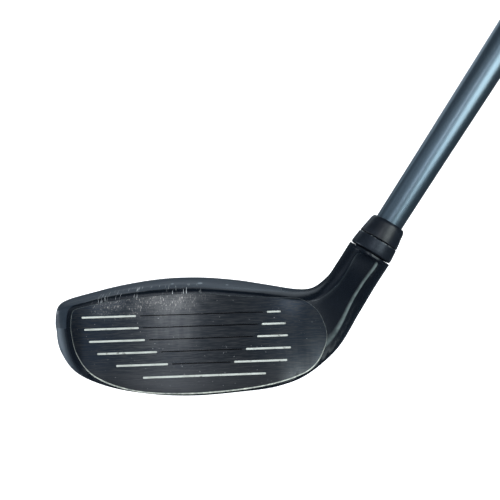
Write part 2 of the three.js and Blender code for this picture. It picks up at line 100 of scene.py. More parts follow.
def mesh_from(name, points, faces, place=None):
    """An object from points in millimetres, put into the row frame through the frame `place`."""
    place = place or Matrix.Identity(4)
    mesh = bpy.data.meshes.new(name)
    mesh.from_pydata([(place @ Vector(point)) * MM for point in points], [], faces)
    mesh.update()
    return new_object(name, mesh)


def applied(piece):
    """Bakes the modifiers of a piece into its mesh."""
    graph = bpy.context.evaluated_depsgraph_get()
    mesh = bpy.data.meshes.new_from_object(piece.evaluated_get(graph), depsgraph=graph)
    piece.modifiers.clear()
    piece.data = mesh
    return piece


def combine(piece, tool, operation, keep_tool=False):
    modifier = piece.modifiers.new("combine", "BOOLEAN")
    modifier.operation = operation
    modifier.solver = "MANIFOLD"
    modifier.object = tool
    applied(piece)
    if not keep_tool:
        bpy.data.objects.remove(tool)
    return piece


def cut(piece, *tools):
    for tool in tools:
        combine(piece, tool, "DIFFERENCE")
    return piece


def copy_of(piece, name):
    return new_object(name, piece.data.copy())


def smooth(piece, angle=30):
    """Smooth shading that stays crisp at edges sharper than `angle` degrees."""
    piece.data.shade_smooth()
    piece.data.set_sharp_from_angle(angle=math.radians(angle))
    return piece


def corner_curve(start, corner, end, steps):
    """Points of a curve that cuts a corner short."""
    shares = [k / steps for k in range(steps + 1)]
    return [start * (1 - t) ** 2 + corner * (2 * t * (1 - t)) + end * t ** 2 for t in shares]


def fillet(profile, radius, steps=4):
    """Rounds the inner corners of an open [radius, station] profile."""
    points = [Vector(point) for point in profile]
    rounded = [points[0]]
    for before, corner, after in zip(points, points[1:], points[2:]):
        back, ahead = before - corner, after - corner
        reach = min(radius, 0.45 * back.length, 0.45 * ahead.length)
        start = corner + back.normalized() * reach
        end = corner + ahead.normalized() * reach
        rounded += corner_curve(start, corner, end, steps)
    rounded.append(points[-1])
    return [tuple(point) for point in rounded]


def turned(name, profile, place, sides=128, closed=True, ripple=None):
    """A turned solid. The profile closes on itself, or starts and ends on the axis if not `closed`."""
    points, rings = [], []
    for radius, station in profile:
        if radius == 0:
            rings.append([len(points)] * sides)
            points.append((0, 0, station))
            continue
        rings.append(list(range(len(points), len(points) + sides)))
        for i in range(sides):
            angle = 2 * math.pi * i / sides
            reach = radius + (ripple(angle, station, radius) if ripple else 0)
            points.append((reach * math.cos(angle), reach * math.sin(angle), station))
    if closed:
        rings.append(rings[0])
    faces = []
    for low, high in zip(rings, rings[1:]):
        for i in range(sides):
            j = (i + 1) % sides
            corners = list(dict.fromkeys((low[i], low[j], high[j], high[i])))
            if len(corners) > 2:
                faces.append(corners)
    piece = mesh_from(name, points, faces, place)
    outward(piece)
    return smooth(piece)


def outward(piece):
    """Turns the faces of a closed mesh outwards."""
    form = bmesh.new()
    form.from_mesh(piece.data)
    if form.calc_volume(signed=True) < 0:
        bmesh.ops.reverse_faces(form, faces=form.faces)
    form.to_mesh(piece.data)
    form.free()
    return piece


def rod(radius, low, high, place, sides=128):
    profile = [(0, low), (radius, low), (radius, high), (0, high)]
    return turned("rod", profile, place, sides, closed=False)


def prism(outline, low, high, place):
    """A solid from a flat outline of (x, y) points between two heights z."""
    count = len(outline)
    points = [(x, y, z) for z in (low, high) for x, y in outline]
    faces = [list(range(count)), list(range(count, 2 * count))[::-1]]
    faces += [[i, count + i, count + (i + 1) % count, (i + 1) % count] for i in range(count)]
    return outward(mesh_from("prism", points, faces, place))


def box(low, high, place):
    (x0, y0, z0), (x1, y1, z1) = low, high
    return prism([(x0, y0), (x1, y0), (x1, y1), (x0, y1)], z0, z1, place)


def spline(points, count):
    """Points on a Catmull-Rom curve through the given ones."""
    points = [np.array(point, float) for point in points]
    curve = []
    for k in range(count + 1):
        place = (len(points) - 1) * k / count
        curve.append(tuple(on_curve(points, place, ends_free=False)))
    return curve


def on_curve(values, place, ends_free=True):
    """The value at any place between listed ones, on a smooth curve through them."""
    last = len(values) - 1
    index = min(int(place), last - 1)
    share = place - index
    start, end = values[index], values[index + 1]
    near = 2 * start - end if ends_free else start
    far = 2 * end - start if ends_free else end
    before = values[index - 1] if index > 0 else near
    after = values[index + 2] if index + 2 <= last else far
    bend = 2 * before - 5 * start + 4 * end - after
    twist = 3 * start - before - 3 * end + after
    return (2 * start + (end - before) * share + bend * share ** 2 + twist * share ** 3) / 2


# ---- outer form of the head

def face_y(z):
    return FOOT_Y + (z - FOOT_Z) * math.tan(LOFT)


def neck(degrees, distance):
    """A point of the neck seen from the front: an angle round the bend and a distance from its centre."""
    angle = math.radians(degrees)
    return BEND_X + distance * math.sin(angle), BEND_Z - distance * math.cos(angle)


def hosel(station, side):
    """A point of the hosel's outline: side -1 is its toe side, +1 its heel side."""
    return (
        HOSEL_X + math.cos(LIE) * station + side * HOSEL_RADIUS * math.sin(LIE),
        math.sin(LIE) * station - side * HOSEL_RADIUS * math.cos(LIE),
    )


ARC = 0.5523  # handle length of a quarter circle


def station(top, bottom, face, ridge, keel, rear, edge, back, crown=(0.3, 0.8, 0.45), sole=(0.3, 0.8, 0.55)):
    """One closed outline of the head, as 22 numbers.
    top, bottom: [x, z]. face: y of the face line at top and bottom. ridge, keel: y of the highest and
    lowest point. rear: [y, share of the height] of the rearmost point. edge: how far the face line
    stops below the top and above the bottom, and its rounding. back, crown, sole: curve handles."""
    return np.array([*top, *bottom, *face, ridge, keel, *rear, *edge, *back, *crown, *sole], float)


def on_face(top_z, bottom_z, set_back=0):
    return face_y(top_z) + set_back, face_y(bottom_z) + set_back


def panel_station(place):
    """Hosel outline: a circle with the flat front panel cut into it."""
    half = math.sqrt(HOSEL_RADIUS ** 2 - PANEL_DEPTH ** 2)
    middle_y = HOSEL_Y - PANEL_DEPTH * math.cos(PANEL_TURN)
    middle_h = HOSEL_RADIUS + PANEL_DEPTH * math.sin(PANEL_TURN)
    rise, slope = half * math.cos(PANEL_TURN), math.tan(PANEL_TURN)
    face = (middle_y + (2 * HOSEL_RADIUS - middle_h) * slope, middle_y - middle_h * slope)
    edge = (2 * HOSEL_RADIUS - middle_h - rise, middle_h - rise, 0.5)
    rear = (HOSEL_Y + HOSEL_RADIUS, 0.5)
    return station(hosel(place, -1), hosel(place, 1), face, HOSEL_Y, HOSEL_Y, rear, edge,
                   (ARC, ARC, ARC), (0.26, 0.64, 0.378), (0.15, 0.6, 0.447))


def round_station(place):
    """Plain round hosel outline, whose face line has shrunk to its foremost point."""
    front = HOSEL_Y - HOSEL_RADIUS + 0.05
    edge = (HOSEL_RADIUS - 0.9, HOSEL_RADIUS - 0.9, 0.3)
    rear = (HOSEL_Y + HOSEL_RADIUS, 0.5)
    return station(hosel(place, -1), hosel(place, 1), (front, front), HOSEL_Y, HOSEL_Y, rear, edge,
                   (ARC, ARC, ARC), (0, 0.52, ARC), (0, 0.52, ARC))


NECK_END = (BEND_X - HOSEL_X) * math.cos(LIE) + BEND_Z * math.sin(LIE)

STATIONS = [
    station((-48.7, 22.5), (-48.7, 20.8), (2.5, 2.5), 4, 4, (5, 0.5),
            (0.4, 0.4, 0.1), (0.55, 0.55, 0.55)),
    station((-47.5, 27.9), (-47.4, 18.3), (0.6, -0.8), 5, 3, (12, 0.5),
            (1.9, 2, 1.3), (0.55, 0.5, 0.55)),
    station((-45.4, 29.6), (-44.6, 12.9), (-2.2, -6.1), 6, 0, (20, 0.5),
            (1.4, 2, 1.3), (0.5, 0.45, 0.55)),
    station((-38, 31.2), (-38, 7.6), on_face(31.2, 7.6, 0.3), 8, 0, (30, 0.45),
            (1.2, 1.6, 1), (0.45, 0.4, 0.55)),
    station((-27, 33.5), (-27, 3.2), on_face(33.5, 3.2), 9, 0, (38, 0.38),
            (1.3, 1.5, 0.8), (0.42, 0.35, 0.55)),
    station((-13, 35.2), (-13, 0.6), on_face(35.2, 0.6), 10, 0, (44, 0.32),
            (1.7, 1.5, 0.8), (0.42, 0.33, 0.55)),
    station((1, 35.4), (1, -0.3), on_face(35.4, -0.3), 10, 0, (46, 0.3),
            (1.7, 1.5, 0.8), (0.42, 0.33, 0.55)),
    station((15, 34.1), (15.5, 0), on_face(34.1, 0), 10, 0, (42, 0.33),
            (1.4, 1.8, 0.8), (0.42, 0.35, 0.55)),
    station((27, 32.6), (28.5, 1.4), on_face(32.6, 1.4), 7, 0, (32, 0.38),
            (1.4, 1.6, 0.8), (0.45, 0.4, 0.55)),
    station(neck(0, 19.1), neck(3, 46), (-3.9, -12.6), 4, -1, (22, 0.42),
            (1.6, 1.8, 0.8), (0.5, 0.45, 0.55)),
    station(neck(18, 19.1), neck(19, 40.7), (-4.6, -10.2), 1, -1, (14, 0.46),
            (2, 2.8, 0.8), (0.55, 0.5, 0.55)),
    station(neck(38, 17.7), neck(39, 34), (-5.2, -8.9), -0.5, -1, (9, 0.5),
            (2.2, 4, 0.8), (0.55, 0.54, 0.55), (0.28, 0.7, 0.45), (0.2, 0.7, 0.5)),
    panel_station(NECK_END),
    panel_station(HOSEL_TOP - 2),
    round_station(HOSEL_TOP - 1.1),
    round_station(HOSEL_TOP),
]


def bezier(points, count):
    """Points on a Bezier curve of any degree, its last point left out."""
    t = np.linspace(0, 1, count + 1)[:-1, None]
    degree = len(points) - 1
    return sum(math.comb(degree, k) * (1 - t) ** (degree - k) * t ** k * p for k, p in enumerate(points))


def trimmed(points, length):
    """What is left of a cubic Bezier curve when its first stretch, about `length` long, is cut off."""
    a, b, c, d = points
    t = min(0.45, length / max(1e-6, 3 * np.linalg.norm(b - a)))
    ab, bc, cd = a + (b - a) * t, b + (c - b) * t, c + (d - c) * t
    abc, bcd = ab + (bc - ab) * t, bc + (cd - bc) * t
    return [abc + (bcd - abc) * t, bcd, cd, d]


# Points along each stretch of an outline: face line, upper rounding, crown, upper rear, lower rear,
# sole and lower rounding.
STRETCHES = (12, 4, 14, 20, 18, 10, 4)
CAP_MARK = 3.5  # the stretch that the flat ends claim to lie on: the rear, where nothing is worn


def outline(values):
    """The closed loop of points round the head at one station."""
    (top_x, top_z, bottom_x, bottom_z, front_top, front_bottom, ridge, keel, rear_y, rear_share,
     stop_top, stop_bottom, rounding, *handles) = values
    back_top, back_rear, back_keel, crown_y, crown_h, crown_end, sole_y, sole_h, sole_end = handles
    height = math.hypot(top_x - bottom_x, top_z - bottom_z)
    at = lambda y, h: np.array([y, h])
    on_line = lambda h: at(front_bottom + (front_top - front_bottom) * h / height, h)
    upper, lower = on_line(height - stop_top), on_line(stop_bottom)
    top, bottom, rear = at(ridge, height), at(keel, 0), at(rear_y, rear_share * height)
    rounding = min(rounding, 0.3 * np.linalg.norm(upper - lower))
    up = (upper - lower) / np.linalg.norm(upper - lower) * rounding
    share = lambda start, end, y, h: start + (end - start) * at(y, h)
    crown = [upper, share(upper, top, crown_y, crown_h), share(top, upper, crown_end, 0), top]
    sole = [lower, share(lower, bottom, sole_y, sole_h), share(bottom, lower, sole_end, 0), bottom]
    crown, sole = trimmed(crown, rounding), trimmed(sole, rounding)
    curves = (
        [lower + up, upper - up],
        [upper - up, upper, crown[0]],
        crown,
        [top, share(top, rear, back_top, 0), share(rear, top, 0, back_rear), rear],
        [rear, share(rear, bottom, 0, back_rear), share(bottom, rear, back_keel, 0), bottom],
        sole[::-1],
        [sole[0], lower, lower + up],
    )
    flat = np.vstack([bezier(curve, count) for curve, count in zip(curves, STRETCHES)])
    lift = flat[:, 1] / height
    x, z = bottom_x + (top_x - bottom_x) * lift, bottom_z + (top_z - bottom_z) * lift
    return np.stack([x, flat[:, 0], z], 1)


def skin(name, places, change=lambda values: values):
    """A closed loft through the outlines at `places`. Its UV map holds the place along the head and
    the stretch of the outline, so that materials can find the panel and its edges."""
    around = sum(STRETCHES)
    rings = [outline(change(on_curve(STATIONS, place))) for place in places]
    stretch = [k + i / count for k, count in enumerate(STRETCHES) for i in range(count)] + [len(STRETCHES)]
    faces, uvs = [], []
    for row in range(len(rings) - 1):
        here, there = row * around, (row + 1) * around
        low, high = places[row], places[row + 1]
        for i in range(around):
            j = (i + 1) % around
            faces.append((here + i, here + j, there + j, there + i))
            uvs += [(low, stretch[i]), (low, stretch[i + 1]), (high, stretch[i + 1]), (high, stretch[i])]
    for row in (0, len(rings) - 1):
        faces.append([row * around + i for i in range(around)][::1 if row else -1])
        uvs += [(places[row], CAP_MARK)] * around
    piece = mesh_from(name, np.vstack(rings), faces)
    layer = piece.data.uv_layers.new(name="form")
    layer.data.foreach_set("uv", np.array(uvs, np.float32).ravel())
    outward(piece)
    return piece


def head_form():
    """The whole outer form, with its sole cut level where it rests on the ground."""
    last, rings = len(STATIONS) - 1, 8  # rings from one station to the next
    form = skin("form", np.linspace(0, last, rings * last + 1))
    above_ground = box((-90, -90, 0), (90, 90, 90), Matrix.Identity(4))
    return combine(form, above_ground, "INTERSECT")


def hollow():
    """The hollow of the head: the same stations drawn in by the wall."""
    toe_end, heel_end, rings = 2.25, 7.5, 30

    def shrink(values):
        drawn = values.copy()
        drop = WALL / math.hypot(values[0] - values[2], values[1] - values[3])
        drawn[0:2] = values[0:2] + (values[2:4] - values[0:2]) * drop
        drawn[2:4] = values[2:4] + (values[0:2] - values[2:4]) * drop
        drawn[4:6] += (PLATE_THICKNESS + 0.4) / math.cos(LOFT)
        drawn[8] -= WALL
        return drawn

    return skin("hollow", np.linspace(toe_end, heel_end, rings), shrink)


# ---- face plate

# Outline of the plate on the face: x, and the height up the face.
PLATE_LOW = [(-40.4, 27.5), (-40.5, 21), (-37.8, 12.4), (-31.2, 5.1), (-18, 0.3), (0, -1.1), (20, 0),
             (34, 2.8), (41.7, 7), (45.8, 15.4), (44, 23), (40.7, 26.8), (36.9, 29.1)]
PLATE_TOP = [(36.9, 29.1), (17.6, 30.4), (2, 31.9), (-15, 31.2), (-30, 29.6), (-40.4, 27.5)]

LINE_PITCH, LINE_TOP = 4.07, 24.75  # score lines, measured up the face
LINE_WIDTH, LINE_DEPTH = 0.68, 0.5
# Painted stretches at toe and heel of each row, joined by a thin groove. The lowest row is one stretch.
LINES = [
    [(-37, -18.7), (25.9, 30.7)],
    [(-35.9, -17.6), (24, 32.2)],
    [(-34.1, -15.5), (22.2, 32.7)],
    [(-31.2, -11.4), (18.3, 33.5)],
    [(-24.8, -7.7), (14.2, 32)],
    [(-15.9, 24.7)],
]


def rounded_corners(points):
    """The plate's outline with its two sharp top corners rounded."""
    reach, steps, sharp = 1.6, 5, math.radians(25)
    points = [Vector(point) for point in points]
    count = len(points)
    turns = []
    for i in range(count):
        a, b, c = points[i - 1], points[i], points[(i + 1) % count]
        turns.append((b - a).angle(c - b))
    corners = {i for i in range(count) if turns[i] > sharp}
    smooth_line = []
    for i in range(count):
        if i not in corners:
            if all((points[i] - points[k]).length > reach for k in corners):
                smooth_line.append(points[i])
            continue
        corner = points[i]
        start = corner + (points[i - 1] - corner).normalized() * reach
        end = corner + (points[(i + 1) % count] - corner).normalized() * reach
        smooth_line += corner_curve(start, corner, end, steps)
    return smooth_line


def plate_outline(shrink=0):
    middle = Vector((2, 15))
    whole = rounded_corners(spline(PLATE_LOW, 144)[:-1] + spline(PLATE_TOP, 60)[:-1])
    points = []
    for point in whole:
        away = point - middle
        points.append((
            point.x - shrink * math.copysign(min(1, abs(away.x) / 30), away.x),
            point.y - shrink * math.copysign(min(1, abs(away.y) / 12), away.y),
        ))
    return points


def groove(start, end, height, width, low=-LINE_DEPTH, high=1):
    """A bar across the face with round ends."""
    radius = width / 2
    ends = [(end - radius, -90), (start + radius, 90)]
    shape = []
    for x, turn in ends:
        for k in range(9):
            angle = math.radians(turn + 180 * k / 8)
            shape.append((x + radius * math.cos(angle), height + radius * math.sin(angle)))
    return prism(shape, low, high, FACE_FRAME)


def face_plate(form):
    plate = copy_of(form, "face_plate_fine")
    front = prism(plate_outline(SEAM), -PLATE_THICKNESS, 6, FACE_FRAME)
    combine(plate, front, "INTERSECT")
    for row, stretches in enumerate(LINES):
        height = LINE_TOP - row * LINE_PITCH
        cut(plate, *[groove(start, end, height, LINE_WIDTH) for start, end in stretches])
        if len(stretches) == 2:
            (_, toe), (heel, _) = stretches
            cut(plate, groove(toe + 1.2, heel - 1.2, height, LINE_WIDTH / 2))
    return plate


def score_paint():
    """The paint that fills the wide grooves, one bar for each painted stretch."""
    bars = [
        groove(start + 0.02, end - 0.02, LINE_TOP - row * LINE_PITCH, LINE_WIDTH - 0.06, -LINE_DEPTH, -0.06)
        for row, stretches in enumerate(LINES) for start, end in stretches
    ]
    return joined("score_paint", bars)


def joined(name, parts):
    form = bmesh.new()
    for part in parts:
        form.from_mesh(part.data)
        bpy.data.objects.remove(part)
    mesh = bpy.data.meshes.new(name)
    form.to_mesh(mesh)
    form.free()
    return new_object(name, mesh)


def plate_rim(form):
    """The worn bright edge of the plate: a fine bead that follows its outline on the face."""
    tree = BVHTree.FromObject(form, bpy.context.evaluated_depsgraph_get())
    out = (FACE_FRAME.to_3x3() @ Vector((0, 0, 1))).normalized()
    centres = []
    for x, y in plate_outline():
        start = (FACE_FRAME @ Vector((x, y, 20))) * MM
        hit = tree.ray_cast(start, -out)[0]
        centres.append(hit / MM)
    sides, points, faces = 8, [], []
    count = len(centres)
    for i, centre in enumerate(centres):
        along = (centres[(i + 1) % count] - centres[i - 1]).normalized()
        across = along.cross(out).normalized()
        # wider along the sole, where the edge is worn most
        low = 1 - min(1, max(0, (centre.z - 3) / 16))
        radius = 0.08 + 0.14 * low
        for k in range(sides):
            angle = 2 * math.pi * k / sides
            points.append(centre + across * (radius * math.cos(angle)) + out * (0.08 * math.sin(angle)))
    for i in range(count):
        for k in range(sides):
            a, b = i * sides, ((i + 1) % count) * sides
            faces.append((a + k, a + (k + 1) % sides, b + (k + 1) % sides, b + k))
    rim = mesh_from("plate_edge", points, faces)
    return smooth(outward(rim), 80)


# ---- head castings

def crown_room(grow):
    """The room of the crown: behind the face's top rail and above the skirt."""
    low = CROWN_FRONT - grow
    start = face_y(low) + CROWN_START / math.cos(LOFT) - grow
    shape = [(start, low - CROWN_DROP * start), (90, low - CROWN_DROP * 90), (90, 60),
             (start + (60 - low) * math.tan(LOFT), 60)]
    sideways = Matrix(((0, 0, 1, 0), (1, 0, 0, 0), (0, 1, 0, 0), (0, 0, 0, 1)))
    return prism(shape, -100, CROWN_HEEL + grow, sideways)


def six_lobes(radius, low, high, place):
    shape = []
    for i in range(60):
        angle = 2 * math.pi * i / 60
        reach = radius * (1 + 0.14 * math.cos(6 * angle))
        shape.append((reach * math.cos(angle), reach * math.sin(angle)))
    return prism(shape, low, high, place)


def head_body(form, inside):
    body = copy_of(form, "head_casting")
    combine(body, inside, "DIFFERENCE", keep_tool=True)
    boss = combine(rod(WEIGHT_RADIUS + 2.3, -4, BOSS_DEPTH, WEIGHT_FRAME), form, "INTERSECT", keep_tool=True)
    combine(body, boss, "UNION")
    cut(
        body,
        prism(plate_outline(), -PLATE_THICKNESS - GAP, 6, FACE_FRAME),
        crown_room(SEAM),
        rod(BORE_RADIUS, BORE_FOOT, HOSEL_TOP + 5, SHAFT_FRAME),
        rod(SCREW_RADIUS + 0.25, SEAT - 1, BORE_FOOT + 1, SHAFT_FRAME, 64),
        rod(POCKET_RADIUS, -8, SEAT, SHAFT_FRAME),
        rod(WEIGHT_RADIUS + 0.15, -6, WEIGHT_DEPTH + 0.9, WEIGHT_FRAME),
        rod(2.2, 0, BOSS_DEPTH - 0.8, WEIGHT_FRAME, 64),
    )
    return body


def crown_shell(form, inside):
    crown = copy_of(form, "crown_skin")
    combine(crown, inside, "DIFFERENCE", keep_tool=True)
    return combine(crown, crown_room(0), "INTERSECT")


def mark_rim(piece):
    """Stores how far each vertex lies outside the plate's outline, in millimetres along the face, so
    that the paint can leave a bare rim round the plate."""
    # a thin wall that stands on the outline, to measure from
    edge = [Vector(point) for point in plate_outline()]
    wall = [(*point, side) for point in edge for side in (-1, 1)]
    count = len(wall)
    strips = [(i, i + 1, (i + 3) % count, (i + 2) % count) for i in range(0, count, 2)]
    tree = BVHTree.FromPolygons(wall, strips)
    back = FACE_FRAME.inverted()
    gaps = []
    for vertex in piece.data.vertices:
        spot = back @ (vertex.co / MM)
        gaps.append(tree.find_nearest((spot.x, spot.y, 0))[3])
    piece.data.attributes.new("rim", "FLOAT", "POINT").data.foreach_set("value", gaps)
    return piece


def shade_as(piece, form):
    """Gives the parts of a piece that lie on the outer form the form's own smooth normals, so that
    cuts leave no trace in its shading."""
    touching, aligned = 0.02 * MM, 0.94  # how near a face is to the form, and how well it follows it
    smooth(piece)
    mesh, source = piece.data, form.data
    tree = BVHTree.FromPolygons([v.co for v in source.vertices], [list(p.vertices) for p in source.polygons])
    normals = [Vector(n.vector) for n in source.vertex_normals]
    cache = {}
    wanted = [Vector(n.vector) for n in mesh.corner_normals]
    for polygon in mesh.polygons:
        near = tree.find_nearest(polygon.center)
        if near[3] > touching or polygon.normal.dot(near[1]) < aligned:
            continue
        for corner in polygon.loop_indices:
            vertex = mesh.loops[corner].vertex_index
            if vertex not in cache:
                cache[vertex] = form_normal(mesh.vertices[vertex].co, tree, source, normals)
            wanted[corner] = cache[vertex]
    mesh.normals_split_custom_set(wanted)
    return piece


def form_normal(point, tree, source, normals):
    place, _, index, _ = tree.find_nearest(point)
    corners = source.polygons[index].vertices
    spots = [source.vertices[v].co for v in corners]
    weights = [1 / ((place - spot).length + 1e-7) for spot in spots]
    if len(spots) == 4:
        from_start = place - spots[0]
        u, v = spots[1] - spots[0], spots[3] - spots[0]
        s = min(1, max(0, from_start.dot(u) / u.length_squared))
        t = min(1, max(0, from_start.dot(v) / v.length_squared))
        weights = [(1 - s) * (1 - t), s * (1 - t), s * t, (1 - s) * t]
    return sum((normals[v] * w for v, w in zip(corners, weights)), Vector()).normalized()


# ---- screws and weight

def thread(radius, depth, foot, pitch, turns):
    """Profile of a thread, from its first crest to its last root."""
    return [(radius - depth * (k % 2), foot + pitch * k / 2) for k in range(2 * turns)]


def retaining_screw():
    shoulder, tip, pitch = SEAT - 0.9, TIP_FOOT - 1, 0.8
    head = fillet([(0, shoulder - 4.1), (3.9, shoulder - 4.1), (4, shoulder), (SCREW_RADIUS, shoulder)], 0.45)
    foot, turns = shoulder + 3, int((tip - shoulder - 4) / pitch)
    end = [(SCREW_RADIUS, foot + turns * pitch), (SCREW_RADIUS - 0.5, tip), (0, tip)]
    profile = head + thread(SCREW_RADIUS, 0.35, foot, pitch, turns) + end
    screw = turned("screw_m5", profile, SHAFT_FRAME, 64, closed=False)
    return smooth(cut(screw, six_lobes(1.9, shoulder - 5.1, shoulder - 1.7, SHAFT_FRAME)))


def weight_screw():
    head = fillet([(0, 0.3), (2.9, 0.3), (2.9, 2.8), (1.9, 3.2)], 0.3)
    profile = head + thread(1.9, 0.3, 4, 0.7, 11) + [(1.9, 11.9), (1.5, 12.4), (0, 12.4)]
    screw = turned("screw_m4", profile, WEIGHT_FRAME, 64, closed=False)
    return smooth(cut(screw, six_lobes(1.6, -0.7, 1.9, WEIGHT_FRAME)))


def rear_weight():
    profile = fillet([
        (2.2, WEIGHT_DEPTH), (2.2, 3.3), (3.2, 2.9), (3.2, 0), (4, 0), (4.2, 0.25), (4.4, 0),
        (WEIGHT_RADIUS - 0.5, 0), (WEIGHT_RADIUS, 0.5), (WEIGHT_RADIUS, WEIGHT_DEPTH), (2.3, WEIGHT_DEPTH),
    ], 0.12, 2)
    return turned("sole_weight", profile, WEIGHT_FRAME)


# ---- shaft assembly

def loft_sleeve():
    collar = fillet([
        (SLEEVE_RADIUS, HOSEL_TOP + GAP), (7.07, HOSEL_TOP + GAP), (7.52, HOSEL_TOP + 0.75),
        (7.49, HOSEL_TOP + 1.8), (7.16, SLEEVE_SEAM - 0.2), (6.97, SLEEVE_SEAM),
        (TIP_RADIUS + 0.1, SLEEVE_SEAM),
    ], 0.22)
    inner = [(TIP_RADIUS + 0.1, TIP_FOOT - GAP), (2.6, TIP_FOOT - GAP), (2.6, SLEEVE_FOOT)]
    foot = fillet([(2.6, SLEEVE_FOOT), (5, SLEEVE_FOOT), (SLEEVE_RADIUS, SLEEVE_FOOT + 0.6),
                   (SLEEVE_RADIUS, HOSEL_TOP + GAP)], 0.2)
    return turned("adapter_sleeve", foot[:-1] + collar + inner[:-1], SHAFT_FRAME)


def ferrule():
    foot, inner = SLEEVE_SEAM + 0.15, TIP_RADIUS + 0.1
    profile = fillet([
        (inner, FERRULE_TOP - 0.5), (inner, foot), (6.82, foot), (7.05, foot + 0.22), (6.65, foot + 2.7),
        (6.13, FERRULE_TOP - 0.9), (5.65, FERRULE_TOP), (inner + 0.08, FERRULE_TOP),
        (inner, FERRULE_TOP - 0.4),
    ], 0.3)
    return turned("ferrule_ring", profile, SHAFT_FRAME)


def shaft():
    outer = fillet([
        (TIP_RADIUS, TIP_FOOT), (TIP_RADIUS, TAPER_START), (SHOULDER_RADIUS, SHOULDER_STATION),
        (BUTT_RADIUS, TAPER_END), (BUTT_RADIUS, SHAFT_TOP),
    ], 30, 8)
    profile = [(2.5, TIP_FOOT)] + outer + [
        (BUTT_RADIUS - 1.2, SHAFT_TOP), (BUTT_RADIUS - 1.2, TAPER_END),
        (3.9, SHOULDER_STATION), (2.5, TAPER_START),
    ]
    return turned("shaft_tube", profile, SHAFT_FRAME, 96)


GRIP_PROFILE = [
    (9.1, GRIP_MOUTH), (9.6, GRIP_MOUTH + 3), (10.6, 850), (11.6, 920), (12.6, 975), (13.3, SHAFT_TOP),
]


def grip_radius(place):
    stations = [s for _, s in GRIP_PROFILE]
    return float(np.interp(place, stations, [r for r, _ in GRIP_PROFILE]))


def moulded(angle, place, radius):
    """Depth of the grip's moulded pattern: crossing helical grooves between plain collars."""
    low, high = GRIP_MOUTH + 14, SHAFT_TOP - 10
    if radius < 9 or not low < place < high:
        return 0
    lead, starts, half_width, deepest = 52.0, 9, 0.085, 0.42
    depth = 0
    for hand in (-1, 1):
        phase = starts * (angle + hand * 2 * math.pi * place / lead) / (2 * math.pi)
        off = abs((phase + 0.5) % 1 - 0.5)
        depth = max(depth, 1 - (off / half_width) ** 2)
    fade = min(1, (place - low) / 2, (high - place) / 2)
    return -deepest * max(0, depth) * fade


def grip():
    inner = BUTT_RADIUS + 0.7
    places = np.linspace(GRIP_MOUTH + 3, SHAFT_TOP - 0.4, 470)
    outer = [(grip_radius(s), s) for s in places]
    for i, (radius, place) in enumerate(outer):
        # a fine ring cut into each collar
        if abs(place - (GRIP_MOUTH + 9)) < 0.5 or abs(place - (SHAFT_TOP - 6)) < 0.5:
            outer[i] = (radius - 0.3, place)
    mouth = [(inner, GRIP_MOUTH + 2), (inner, GRIP_MOUTH), (9.15, GRIP_MOUTH), (9.55, GRIP_MOUTH + 3)]
    mouth = fillet(mouth, 0.5)
    profile = mouth + outer + [(13.2, SHAFT_TOP), (inner, SHAFT_TOP)]
    return turned("grip_sleeve", profile, SHAFT_FRAME, 180, ripple=moulded)


def grip_cap():
    low = SHAFT_TOP + GAP - 0.25
    profile = fillet([
        (1.2, low), (13.25, low), (13.4, CLUB_LENGTH - 1.3), (12.4, CLUB_LENGTH), (10.2, CLUB_LENGTH),
        (9.9, CLUB_LENGTH - 0.35), (9.3, CLUB_LENGTH - 0.35), (9, CLUB_LENGTH), (1.5, CLUB_LENGTH),
        (1.2, CLUB_LENGTH - 0.3), (1.2, low + 0.1),
    ], 0.3)
    return turned("butt_cap", profile, SHAFT_FRAME)


# ---- materials

